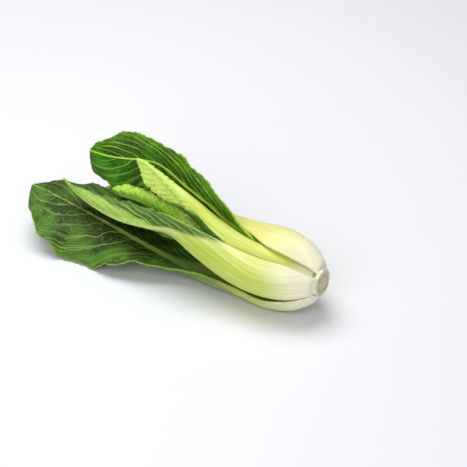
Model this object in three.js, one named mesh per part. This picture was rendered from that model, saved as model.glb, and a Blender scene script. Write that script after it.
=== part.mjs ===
// A head of green-stemmed pak choi, lying on its side.
//
// Units are millimetres. +Z is up, +X runs from the leaf tips towards the cut butt, and the head
// lies on Z = 0. The origin is on that surface, below the middle of the head's box.
//
// Each leaf grew as one piece, so each is one closed solid: a thick stalk that thins out into the
// midrib of a wavy blade. A leaf is a sheet swept along its midrib. Across the sheet, each half
// starts at a fold angle at the midrib and goes on turning towards the margin by its curl.
import * as THREE from 'three';

// ---- driving dimensions -------------------------------------------------------------------
const AXIS_HEIGHT = 27.4; // the head's axis above the surface, at the butt
const PLATE_THICKNESS = 2.4; // the cut plate that the outer leaves grow from
const BLADE_THICKNESS = 0.9;
const STALK_MARGIN = 1.7; // how thick a stalk is along its margins
const LEAST_LIFT = 0.85; // how high the upper face of a blade stays above the surface
const BASE_LENGTH = 26; // over this length the sections turn from upright to square with the midrib
const ROW_STEP = 7.5; // length of a facet row along a leaf
const SIDE_COLUMNS = 5; // facet columns on each side of a midrib
const RIB_COLUMNS = 2; // how many of them the midrib takes
const CURL_STEPS = 24; // steps in which the turning across a half is added up
const FOLD_SHARE = 0.12; // share of a half in which its fold sets in
const NECK_BLEND = 0.1; // share of a leaf's length in which the stalk turns into the blade
const RUFFLE_START = 0.15; // share of its length past the neck where the waves are at their full height
const RUFFLE_END = 0.06; // share of its length before the tip where they die down
const MARGIN_SHIFT = 0.18; // how far the two margins' waves are out of step, in waves
const RIB_TIP = 0.9; // half width of the midrib at the tip
const RIB_TAPER = 2.2; // how soon the midrib narrows
const RIB_ROUNDNESS = 1.2; // how round a stalk's back is
const TANGENT_STEP = 0.01; // steps in u and v for the slopes of a sheet
const NORMAL_STEP_U = 0.004;
const NORMAL_STEP_V = 0.02;

// The butt, as radius and distance along the head: the cut plate and the stub behind it.
const BUTT_PROFILE = [
  [0, 0],
  [9.4, 0],
  [10.5, 1.1],
  [10.5, PLATE_THICKNESS],
  [6.2, PLATE_THICKNESS + 0.1],
  [4.6, 6],
  [3.6, 10],
  [2.0, 13],
  [1.2, 14.6],
  [0, 14.6],
];
const BUTT_SEGMENTS = 24;

// Leaf bases of a whorl, one row for each station: distance along the head, radius of the inner
// face round the axis, half width, and thickness in the middle.
const WHORLS = {
  outer: [
    [2.8, 7.6, 6.6, 2.9],
    [8, 11.4, 9.5, 5.4],
    [20, 17.1, 15.0, 7.7],
    [38, 20.6, 16.8, 7.8],
  ],
  middle: [
    [6, 5.6, 3.4, 2.0],
    [16, 8.3, 5.4, 3.2],
    [34, 11.5, 8.0, 4.3],
  ],
  inner: [
    [15, 2.6, 2.0, 1.6],
    [26, 4.2, 3.4, 2.2],
    [46, 5.2, 4.4, 2.4],
  ],
};

// Which of a leaf's own stations is its neck, where the stalk ends and the blade begins.
const NECK_STATION = { outer: 2, middle: 2, inner: 1 };

// One leaf: where it sits round the axis (degrees from the top, towards the front), how far its
// sections are rolled so that one margin lies over the next leaf, and its stations from there on:
// [along, side, up, facing, half width, thickness, low fold, low curl, high fold, high curl].
// "Facing" is the direction that the outer side looks in, and low and high are the two halves.
// Where a blade's halves aren't alike, low and high say how much of the half width each has, at
// the neck and at the tip.
const LEAVES = [
  {
    name: 'leaf_back', whorl: 'outer', azimuth: -28, roll: 12,
    openHigh: 22, waves: 5, ruffle: 1.6, colour: 0x3f7d2a,
    stations: [
      [60, 15, 42.2, -36, 11.2, 6.4, 0, 44, 0, 34],
      [84, 22.8, 37, -39, 10.6, 5.4, 0, 36, 0, 34],
      [110, 27, 37, -42, 11, 4.6, 0, 26, 0, 30],
      [138, 33, 35.6, -48, 17, 3.6, 0, 10, 4, 20],
      [166, 40, 34, -54, 28, 2.8, 0, 4, 4, 24],
      [192, 47, 32, -56, 30, 2.0, 0, 4, 4, 20],
      [214, 51, 31, -58, 21, 1.4, 0, 4, 4, 14],
      [227, 54, 30, -60, 4, 0.9, 0, 0, 0, 0],
    ],
  },
  {
    name: 'leaf_front', whorl: 'outer', azimuth: 90, roll: 16,
    openHigh: 0, low: [1, 0.05], waves: 5, ruffle: 1.4, colour: 0x9ccf5a,
    stations: [
      [60, -20.6, 30, 98, 15, 7.2, 0, 42, 0, 42],
      [84, -21, 38, 96, 11.7, 6, 0, 46, 0, 46],
      [108, -20, 46, 106, 8.6, 4.6, 0, 44, 0, 44],
      [130, -18, 42, 122, 14, 3.6, 10, 90, 30, 20],
      [158, -14, 36.6, 126, 24, 2.8, 16, 110, 28, 28],
      [184, -9, 36.6, 128, 27, 2.0, 16, 120, 36, 28],
      [204, -4, 39.6, 130, 20, 1.4, 16, 60, 36, 20],
      [217, 0, 44, 128, 4, 0.9, 10, 0, 10, 0],
    ],
  },
  {
    name: 'leaf_under', whorl: 'outer', azimuth: 169, roll: 16,
    openHigh: 0, low: [1.5, 0.95], waves: 6, ruffle: 2.0, colour: 0x2c6622,
    stations: [
      [60, -5, 8.4, 178, 15, 7.2, 0, 42, 0, 46],
      [86, -6, 8, 172, 12.5, 6, 0, 46, 0, 50],
      [112, -5, 9, 174, 14, 4.6, 0, 20, 0, 20],
      [140, -4, 13, 176, 21, 3.6, 0, 0, -10, -10],
      [172, -2, 18, 178, 31, 2.8, -24, -24, -10, -16],
      [206, 0, 23, 178, 34, 2.0, -14, -10, -10, -10],
      [232, 2, 26, 176, 24, 1.4, -4, 0, -4, 0],
      [248, 2, 28, 174, 5, 0.9, 0, 0, 0, 0],
    ],
  },
  {
    name: 'leaf_rear', whorl: 'outer', azimuth: 247.5, roll: 16,
    openHigh: 0, waves: 5, ruffle: 2.0, colour: 0x2f6a24,
    stations: [
      [60, 19.5, 21.5, 262, 12.8, 7.2, 0, 42, 0, 48],
      [86, 23, 19, 246, 11.6, 6, 0, 46, 0, 60],
      [112, 29, 14, 226, 12, 4.6, 0, 24, 0, 24],
      [138, 37, 7.4, 206, 19, 3.6, 0, 0, 0, 6],
      [166, 45, 4.4, 194, 29, 2.8, 0, -2, 0, 6],
      [190, 52, 3.4, 190, 31, 2.0, 0, -4, 0, 6],
      [210, 57, 3.6, 188, 22, 1.4, 0, 0, 0, 6],
      [224, 60, 5, 186, 4, 0.9, 0, 0, 0, 0],
    ],
  },
  {
    name: 'leaf_folded', whorl: 'middle', azimuth: 36, roll: 8,
    openHigh: 0, outset: 3, low: [0.8, 0.6], waves: 4, ruffle: 1.2, colour: 0xd8ea80,
    stations: [
      [54, -10.4, 43.4, 45, 8.0, 4.8, 36, 44, 0, 40],
      [76, -11.2, 52, 44, 8.2, 4.6, 52, 50, 4, 40],
      [98, -8, 61.6, 46, 8, 3.8, 90, 50, 10, 30],
      [118, -4, 68, 52, 11.4, 3.0, 134, 10, 10, 20],
      [136, 1, 73, 56, 13.8, 2.2, 136, 6, 10, 20],
      [147, 4, 75, 56, 8.6, 1.6, 120, 6, 10, 10],
      [155, 6, 74.6, 56, 2.6, 0.9, 50, 0, 10, 0],
    ],
  },
  {
    name: 'leaf_tall', whorl: 'middle', azimuth: 322, roll: 8,
    openHigh: 0, low: [0.5, 1.25], high: [1.35, 0.7], waves: 5, ruffle: 1.8, colour: 0x2a6a1c,
    stations: [
      [52, 7, 37.4, 318, 6.2, 4.0, 0, 44, 16, 40],
      [62, 3, 41, 294, 6.2, 3.4, 0, 40, 2, 24],
      [72, 1.6, 46, 280, 7.8, 3.4, 0, 30, 2, 20],
      [92, 3, 57.4, 268, 14, 4.0, -10, -20, 12, 10],
      [116, 9.6, 62.4, 258, 19, 3.6, -4, 4, 14, 10],
      [142, 16, 69, 248, 22, 2.8, -4, 0, 32, 10],
      [161, 20, 66, 244, 25, 2.4, -4, 0, 30, 10],
      [180, 22, 61, 242, 22.6, 1.8, -4, 0, 25, 10],
      [195, 23, 58.4, 242, 15.4, 1.4, -4, 0, 25, 10],
      [205, 23.6, 58, 242, 10.6, 1.1, -4, 0, 20, 10],
      [210, 24, 58, 242, 5, 0.9, 0, 0, 10, 0],
    ],
  },
  {
    name: 'leaf_ruffled', whorl: 'middle', azimuth: 116, roll: 12,
    openHigh: 0, high: [0.6, 0.6], waves: 5, ruffle: 1.6, colour: 0x7cc23a,
    stations: [
      [56, -11, 26, 112, 8.6, 4.4, 0, 46, 0, 46],
      [80, -11.6, 32, 106, 8.4, 4.2, 0, 50, 0, 50],
      [102, -10, 40.4, 98, 8.2, 3.8, 0, 30, 30, 50],
      [126, -8, 49, 90, 9.6, 3.0, 0, 120, 90, 10],
      [148, -5, 50, 86, 9.8, 2.2, 0, 120, 90, 6],
      [163, -2.6, 47.6, 84, 9, 1.6, 0, 110, 90, 4],
      [174, 1, 45.4, 84, 4, 0.9, 0, 0, 60, 0],
    ],
  },
  {
    name: 'leaf_low', whorl: 'middle', azimuth: 208, roll: 12,
    openHigh: 0, waves: 4, ruffle: 1.2, colour: 0x3a7d28,
    stations: [
      [56, 7, 19.4, 214, 8.6, 4.4, 0, 46, 0, 46],
      [78, 8, 20.5, 212, 8.4, 4.4, 0, 50, 0, 50],
      [102, 11, 23, 208, 8.6, 3.6, 0, 30, 0, 40],
      [126, 14, 26, 206, 13, 3.0, 0, 10, 20, 30],
      [150, 17, 29, 204, 15, 2.2, 0, 10, 30, 20],
      [168, 19, 31, 204, 12, 1.6, 0, 10, 30, 10],
      [180, 20, 32, 204, 4, 0.9, 0, 0, 0, 0],
    ],
  },
  {
    name: 'leaf_heart_upper', whorl: 'inner', azimuth: 350, roll: 12,
    openHigh: 0, waves: 3, ruffle: 0.6, colour: 0x86c148,
    stations: [
      [66, 0.6, 34, 352, 4.0, 2.2, 0, 50, 0, 50],
      [84, 2, 36.4, 350, 4.2, 1.8, 0, 40, 0, 40],
      [99, 3.6, 39, 350, 6, 1.5, 10, 60, 10, 60],
      [110, 5, 41, 350, 5.4, 1.2, 10, 60, 10, 60],
      [118, 6, 42, 350, 2.5, 0.9, 0, 0, 0, 0],
    ],
  },
  {
    name: 'leaf_heart_front', whorl: 'inner', azimuth: 110, roll: 12,
    openHigh: 0, waves: 3, ruffle: 0.6, colour: 0x86c148,
    stations: [
      [66, -4, 27.8, 110, 4.2, 2.2, 0, 50, 0, 50],
      [82, -2.4, 29, 112, 4.4, 1.8, 0, 40, 0, 40],
      [96, -0.6, 30, 116, 5, 1.5, 10, 50, 10, 50],
      [106, 0.6, 31, 118, 4.4, 1.2, 10, 50, 10, 50],
      [113, 1.4, 31.6, 118, 2.2, 0.9, 0, 0, 0, 0],
    ],
  },
  {
    name: 'leaf_heart_rear', whorl: 'inner', azimuth: 230, roll: 12,
    openHigh: 0, waves: 3, ruffle: 0.6, colour: 0x86c148,
    stations: [
      [64, 4, 26, 232, 4.6, 2.4, 0, 50, 0, 50],
      [82, 7, 28.4, 236, 4.6, 2.0, 0, 40, 0, 40],
      [98, 10, 31.4, 240, 6.2, 1.6, 10, 60, 10, 60],
      [110, 10, 34, 242, 6, 1.2, 10, 60, 10, 60],
      [118, 11, 36, 242, 2.5, 0.9, 0, 0, 0, 0],
    ],
  },
];

// ---- small helpers ------------------------------------------------------------------------
const radians = THREE.MathUtils.degToRad;
const clamp = THREE.MathUtils.clamp;

function smooth(value, low, high) {
  const t = clamp((value - low) / (high - low), 0, 1);
  return t * t * (3 - 2 * t);
}

// A surface held up softly: far above `least` it is left alone, and it never comes below it.
function lifted(height, least) {
  const soft = 3;
  const over = height - least;
  if (over >= soft) return height;
  return least + (soft * Math.exp((over - soft) / soft));
}

// Smooth curves through all columns of a leaf's stations, by the distance walked between them.
function stationCurves(rows) {
  const walked = [0];
  for (let i = 1; i < rows.length; i += 1) {
    const step = Math.hypot(...[0, 1, 2].map((k) => rows[i][k] - rows[i - 1][k]));
    walked.push(walked[i - 1] + step);
  }
  const length = walked[walked.length - 1];
  const slope = (i, k) => {
    const before = Math.max(i - 1, 0);
    const after = Math.min(i + 1, rows.length - 1);
    return (rows[after][k] - rows[before][k]) / (walked[after] - walked[before]);
  };
  const at = (u) => {
    const distance = clamp(u, 0, 1) * length;
    let i = 0;
    while (i < rows.length - 2 && distance > walked[i + 1]) i += 1;
    const span = walked[i + 1] - walked[i];
    const t = (distance - walked[i]) / span;
    const [a, b] = [2 * t ** 3 - 3 * t ** 2 + 1, 3 * t ** 2 - 2 * t ** 3];
    const [c, d] = [t ** 3 - 2 * t ** 2 + t, t ** 3 - t ** 2];
    return rows[i].map((value, k) => (
      a * value + b * rows[i + 1][k] + span * (c * slope(i, k) + d * slope(i + 1, k))
    ));
  };
  return { at, length, walked };
}

// ---- leaves -------------------------------------------------------------------------------
function baseStations(leaf) {
  return WHORLS[leaf.whorl].map(([along, inner, halfWidth, thickness]) => {
    const around = radians(leaf.azimuth);
    const radius = inner + (leaf.outset ?? 0) * smooth(along, 2, 34);
    const curl = THREE.MathUtils.radToDeg(halfWidth / (radius + 1));
    const side = -radius * Math.sin(around);
    const up = AXIS_HEIGHT + radius * Math.cos(around);
    const turns = [0, curl, 0, curl - leaf.openHigh];
    return [along, side, up, leaf.azimuth + leaf.roll, halfWidth, thickness, ...turns];
  });
}

// The sheet of one leaf. u runs from 0 at the base to 1 at the tip, v from -1 to 1 across.
function leafSheet(leaf) {
  const bases = baseStations(leaf);
  const start = bases[0][0];
  const curves = stationCurves([...bases, ...leaf.stations]);
  const neck = curves.walked[bases.length + NECK_STATION[leaf.whorl]] / curves.length;

  const station = (u) => {
    const [along, side, up, facing, halfWidth, thickness, ...turns] = curves.at(u);
    return { point: new THREE.Vector3(-along, side, up), facing, halfWidth, thickness, turns, along };
  };

  // half width of the thick stalk, and further on of the midrib
  const ribWidth = (u, halfWidth) => {
    if (u <= neck) return halfWidth;
    const atNeck = station(neck).halfWidth;
    return Math.min(halfWidth, RIB_TIP + (atNeck - RIB_TIP) * ((1 - u) / (1 - neck)) ** RIB_TAPER);
  };

  // the inner face, which is the upper side of the leaf
  const innerFace = (u, v) => {
    const here = station(u);
    const ahead = station(Math.min(u + TANGENT_STEP, 1)).point;
    const behind = station(Math.max(u - TANGENT_STEP, 0)).point;
    const tangent = ahead.sub(behind).normalize();
    const upright = 1 - smooth(here.along - start, 0, BASE_LENGTH);
    tangent.lerp(new THREE.Vector3(-1, 0, 0), upright).normalize();
    const turn = radians(here.facing);
    const normal = new THREE.Vector3(0, -Math.sin(turn), Math.cos(turn));
    normal.addScaledVector(tangent, -normal.dot(tangent)).normalize();
    const across = new THREE.Vector3().crossVectors(normal, tangent);
    const [fold, curl] = v < 0 ? here.turns.slice(0, 2) : here.turns.slice(2, 4);
    const share = Math.abs(v);
    let sideways = 0;
    let inwards = 0;
    const steps = Math.max(1, Math.ceil(share * CURL_STEPS));
    for (let i = 0; i < steps; i += 1) {
      const middle = share * (i + 0.5) / steps;
      const easedFold = fold * smooth(middle, 0, FOLD_SHARE);
      const angle = radians(easedFold + curl * middle);
      sideways += Math.cos(angle) * share / steps;
      inwards += Math.sin(angle) * share / steps;
    }
    const [atNeck, atTip] = (v < 0 ? leaf.low : leaf.high) ?? [1, 1];
    const sideShare = THREE.MathUtils.lerp(atNeck, atTip, clamp((u - neck) / (1 - neck), 0, 1));
    const onBlade = smooth(u, neck - NECK_BLEND, neck + NECK_BLEND);
    const width = here.halfWidth * THREE.MathUtils.lerp(1, sideShare, onBlade);
    const ruffled = smooth(u, neck, neck + RUFFLE_START) * smooth(1 - u, 0, RUFFLE_END);
    const waves = leaf.waves * (u - neck) / (1 - neck) + MARGIN_SHIFT * Math.sign(v);
    const height = leaf.ruffle * ruffled * Math.min(sideShare, 1);
    const ruffle = height * share ** 3 * Math.sin(2 * Math.PI * waves);
    const point = here.point.clone();
    point.addScaledVector(across, Math.sign(v) * sideways * width);
    point.addScaledVector(normal, ruffle - inwards * width);
    point.z = lifted(point.z, LEAST_LIFT);
    return point;
  };

  const outwards = (u, v) => {
    const [du, dv] = [NORMAL_STEP_U, NORMAL_STEP_V];
    const along = innerFace(Math.min(u + du, 1), v).sub(innerFace(Math.max(u - du, 0), v));
    const over = innerFace(u, Math.min(v + dv, 1)).sub(innerFace(u, Math.max(v - dv, -1)));
    return along.cross(over).normalize();
  };

  const thickness = (u, v) => {
    const here = station(u);
    const onBlade = smooth(u, neck - NECK_BLEND, neck + NECK_BLEND);
    const margin = THREE.MathUtils.lerp(STALK_MARGIN, BLADE_THICKNESS, onBlade);
    const edge = Math.min(margin, here.thickness);
    const across = clamp((Math.abs(v) * here.halfWidth) / ribWidth(u, here.halfWidth), 0, 1);
    return edge + (here.thickness - edge) * (1 - across ** 2) ** RIB_ROUNDNESS;
  };

  // v of a facet column: the first ones follow the midrib, the others share what is left
  const columnPlace = (u, column) => {
    const { halfWidth } = station(u);
    const rib = Math.min(ribWidth(u, halfWidth) / halfWidth, RIB_COLUMNS / SIDE_COLUMNS);
    const index = Math.abs(column);
    const left = (index - RIB_COLUMNS) / (SIDE_COLUMNS - RIB_COLUMNS);
    const place = index <= RIB_COLUMNS ? (rib * index) / RIB_COLUMNS : rib + (1 - rib) * left;
    return Math.sign(column) * place;
  };

  return { innerFace, outwards, thickness, columnPlace, start, length: curves.length };
}

// A closed solid from the two faces of a sheet. Both faces are split along the same diagonals.
function leafGeometry(leaf) {
  const sheet = leafSheet(leaf);
  const rows = Math.round(sheet.length / ROW_STEP);
  const columns = 2 * SIDE_COLUMNS;
  const positions = [];
  const indices = [];
  const index = (face, row, column) => (face * (rows + 1) + row) * (columns + 1) + column;
  for (let face = 0; face < 2; face += 1) {
    for (let row = 0; row <= rows; row += 1) {
      for (let column = 0; column <= columns; column += 1) {
        const u = row / rows;
        const v = sheet.columnPlace(u, column - SIDE_COLUMNS);
        const point = sheet.innerFace(u, v);
        if (face === 1) point.addScaledVector(sheet.outwards(u, v), sheet.thickness(u, v));
        point.x = Math.min(point.x, -sheet.start);
        point.z = Math.max(point.z, 0);
        positions.push(point.x, point.y, point.z);
      }
    }
  }
  const quad = (a, b, c, d) => indices.push(a, b, c, a, c, d);
  for (let row = 0; row < rows; row += 1) {
    for (let column = 0; column < columns; column += 1) {
      const corners = (face) => [
        index(face, row, column),
        index(face, row + 1, column),
        index(face, row + 1, column + 1),
        index(face, row, column + 1),
      ];
      const [a, b, c, d] = corners(0);
      indices.push(a, c, b, a, d, c);
      quad(...corners(1));
    }
  }
  // the margins, base and tip join the two faces
  for (let row = 0; row < rows; row += 1) {
    const [low, nextLow] = [row, row + 1].map((r) => [index(0, r, 0), index(1, r, 0)]);
    const [high, nextHigh] = [row, row + 1].map((r) => [index(0, r, columns), index(1, r, columns)]);
    quad(low[0], nextLow[0], nextLow[1], low[1]);
    quad(high[1], nextHigh[1], nextHigh[0], high[0]);
  }
  for (let column = 0; column < columns; column += 1) {
    const [base, nextBase] = [column, column + 1].map((c) => [index(0, 0, c), index(1, 0, c)]);
    const [tip, nextTip] = [column, column + 1].map((c) => [index(0, rows, c), index(1, rows, c)]);
    quad(base[0], base[1], nextBase[1], nextBase[0]);
    quad(tip[1], tip[0], nextTip[0], nextTip[1]);
  }
  const geometry = new THREE.BufferGeometry();
  geometry.setAttribute('position', new THREE.Float32BufferAttribute(positions, 3));
  geometry.setIndex(indices);
  geometry.computeVertexNormals();
  return geometry;
}

// ---- butt ---------------------------------------------------------------------------------
function buttGeometry() {
  const profile = BUTT_PROFILE.map(([radius, along]) => new THREE.Vector2(radius, along));
  const geometry = new THREE.LatheGeometry(profile, BUTT_SEGMENTS);
  geometry.rotateZ(Math.PI / 2);
  geometry.translate(0, 0, AXIS_HEIGHT);
  return geometry;
}

// ---- the head -----------------------------------------------------------------------------
const head = new THREE.Group();
const buttMaterial = new THREE.MeshStandardMaterial({ color: 0xf4f2dc, roughness: 0.6, metalness: 0 });
const butt = new THREE.Mesh(buttGeometry(), buttMaterial);
butt.name = 'butt';
head.add(butt);
for (const leaf of LEAVES) {
  const material = new THREE.MeshStandardMaterial({ color: leaf.colour, roughness: 0.45, metalness: 0 });
  const mesh = new THREE.Mesh(leafGeometry(leaf), material);
  mesh.name = leaf.name;
  head.add(mesh);
}

// the origin goes below the middle of the head's box
const box = new THREE.Box3().setFromObject(head);
const middle = box.getCenter(new THREE.Vector3());
head.position.set(-middle.x, -middle.y, 0);

export default head;
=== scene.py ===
"""A head of green-stemmed bok choy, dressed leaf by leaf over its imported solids."""
import math
from dataclasses import dataclass
from functools import partialmethod

import bpy
import numpy as np
from bpy.props import (
    CollectionProperty, FloatProperty, FloatVectorProperty, IntProperty, PointerProperty,
)
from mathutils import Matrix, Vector


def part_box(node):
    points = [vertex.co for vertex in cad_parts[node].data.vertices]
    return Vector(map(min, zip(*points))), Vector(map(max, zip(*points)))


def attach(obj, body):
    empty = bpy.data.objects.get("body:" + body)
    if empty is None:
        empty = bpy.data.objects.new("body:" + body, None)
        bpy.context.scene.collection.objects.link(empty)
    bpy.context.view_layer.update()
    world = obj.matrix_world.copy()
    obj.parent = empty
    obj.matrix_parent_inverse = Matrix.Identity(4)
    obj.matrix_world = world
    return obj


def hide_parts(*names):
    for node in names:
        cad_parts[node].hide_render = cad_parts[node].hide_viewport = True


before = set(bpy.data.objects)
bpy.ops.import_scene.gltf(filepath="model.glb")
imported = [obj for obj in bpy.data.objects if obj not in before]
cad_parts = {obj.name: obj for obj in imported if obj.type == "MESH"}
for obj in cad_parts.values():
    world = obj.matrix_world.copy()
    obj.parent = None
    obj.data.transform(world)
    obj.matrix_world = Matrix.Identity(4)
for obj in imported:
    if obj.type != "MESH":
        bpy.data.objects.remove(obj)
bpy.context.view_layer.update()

bl_info = {
    "name": "Bok Choy Head",
    "version": (1, 0, 0),
    "blender": (4, 5, 0),
    "location": "View3D > Sidebar > Bok Choy",
    "description": "Builds a head of green-stemmed bok choy from its leaf stations",
    "category": "Add Mesh",
}

MM = 0.001
BUTT_LOW, BUTT_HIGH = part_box("butt")
CUT_FACE_X = BUTT_HIGH.x / MM  # the cut face, from which distances along the head are counted
HEAD_Y = (BUTT_LOW.y + BUTT_HIGH.y) / 2 / MM

# ---- sizes shared by every leaf, in millimetres, or shares without a unit
AXIS_HEIGHT = 27.4
PLATE_THICKNESS = 2.4  # of the butt
BLADE_THICKNESS, STALK_MARGIN = 0.9, 1.7
LEAST_LIFT, LIFT_SOFTNESS = 0.85, 3.0  # how far inner faces stay above the surface
BASE_LENGTH = 26  # over this length a stalk turns from the axis to its own way
OUTSET_SPAN = (2, 34)
BASE_CURL_DEPTH = 1  # depth inside a leaf base at which its curl is measured
SIDE_COLUMNS, RIB_COLUMNS = 5, 2
CURL_STEPS, FOLD_SHARE = 96, 0.12
NECK_BLEND = 0.1
RUFFLE_START, RUFFLE_END, RUFFLE_POWER = 0.15, 0.06, 3
MARGIN_SHIFT = 0.18
RIB_TIP, RIB_TAPER, RIB_ROUNDNESS = 0.9, 2.2, 1.2
PALE_TIP, PALE_TAPER = 0.55, 2.4
WING_END = 0.08
TANGENT_STEP, NORMAL_STEP_U, NORMAL_STEP_V = 0.01, 0.004, 0.02
WOBBLE_TERMS = 7

# Leaf bases of a whorl: distance along the head, radius of the inner face, half width, thickness.
WHORLS = {
    "outer": [
        (2.8, 7.6, 6.6, 2.9), (8, 11.4, 9.5, 5.4), (20, 17.1, 15.0, 7.7), (38, 20.6, 16.8, 7.8),
    ],
    "middle": [(6, 5.6, 3.4, 2.0), (16, 8.3, 5.4, 3.2), (34, 11.5, 8.0, 4.3)],
    "inner": [(15, 2.6, 2.0, 1.6), (26, 4.2, 3.4, 2.2), (46, 5.2, 4.4, 2.4)],
}
NECK_STATION = {"outer": 2, "middle": 2, "inner": 1}


@dataclass
class Leaf:
    """One leaf: its place round the axis, its stations, and the fine detail of its blade.

    A station is (along, side, up, facing, half width, thickness, low fold, low curl, high fold,
    high curl), in millimetres and degrees. v is below 0 in the low half, and above it in the high.
    """

    name: str
    whorl: str
    azimuth: float
    roll: float
    waves: int  # of the margin, with their height
    ruffle: float
    stations: list
    colours: str  # codes in the order of COLOUR_PARTS
    open_high: float = 0  # how much less the base curls on the high half
    outset: float = 0  # of the base, away from the axis
    low: tuple = (1, 1)  # share of the half width at neck and tip
    high: tuple = (1, 1)
    wings: float = 0.12  # reach of the blade down the stalk
    midrib: float = 0.6  # its pale share at the neck
    veins: int = 9  # on each side of the midrib
    sweep: float = 0.34  # of a vein, forward to the margin
    quilted: float = 1
    crimp: float = 0.35  # height, along the margin
    lobes: float = 0  # depth of the notches between them
    scallops: float = 0  # height, across the blade
    vein_show: float = 0.8
    vein_width: float = 1
    quiet: float = 0  # how much fainter veins of the low half are
    shade: float = 0.15  # how much painted shade darkens the green by the midrib
    far: float = 0  # painted shade over the high half
    # The under side is pale where start + along * up_blade + over * aside is above 0, within a
    # border of the last number. The pale is partly its own tone and partly painted light, on the
    # strip of leaf_front and the margin of leaf_ruffled that face the light.
    pale: tuple = (-1, 0, 0, 0.1)
    pleats: float = 0  # of the under side
    keel: float = 0  # how much painted shade darkens the middle of the under side
    # Green runs down the stalk where across + start + along * up_blade is above 0. On
    # leaf_folded this is its dark under colour, partly painted shade beside the stalk.
    flank: tuple = ()
    white: float = 0.42  # reach of the white base up the stalk
    belly: float = 0.15  # how much greener its keel is: partly its own colour, partly painted shade
    pallor: float = 0.4  # of the streaks of the stalk
    edge: float = 1  # green of its margins, or below 0 their pallor, a painted highlight
    rows: int = 230
    columns: int = 46


COLOUR_PARTS = ("upper", "patches", "under", "pale", "veins", "stalk", "neck")
HEART = {
    "colours": "66a82a 92c83e a4cc4c cfe67c dcf088 f0f2a8 cfe268",
    "veins": 6, "rows": 130, "columns": 20,
}

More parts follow.
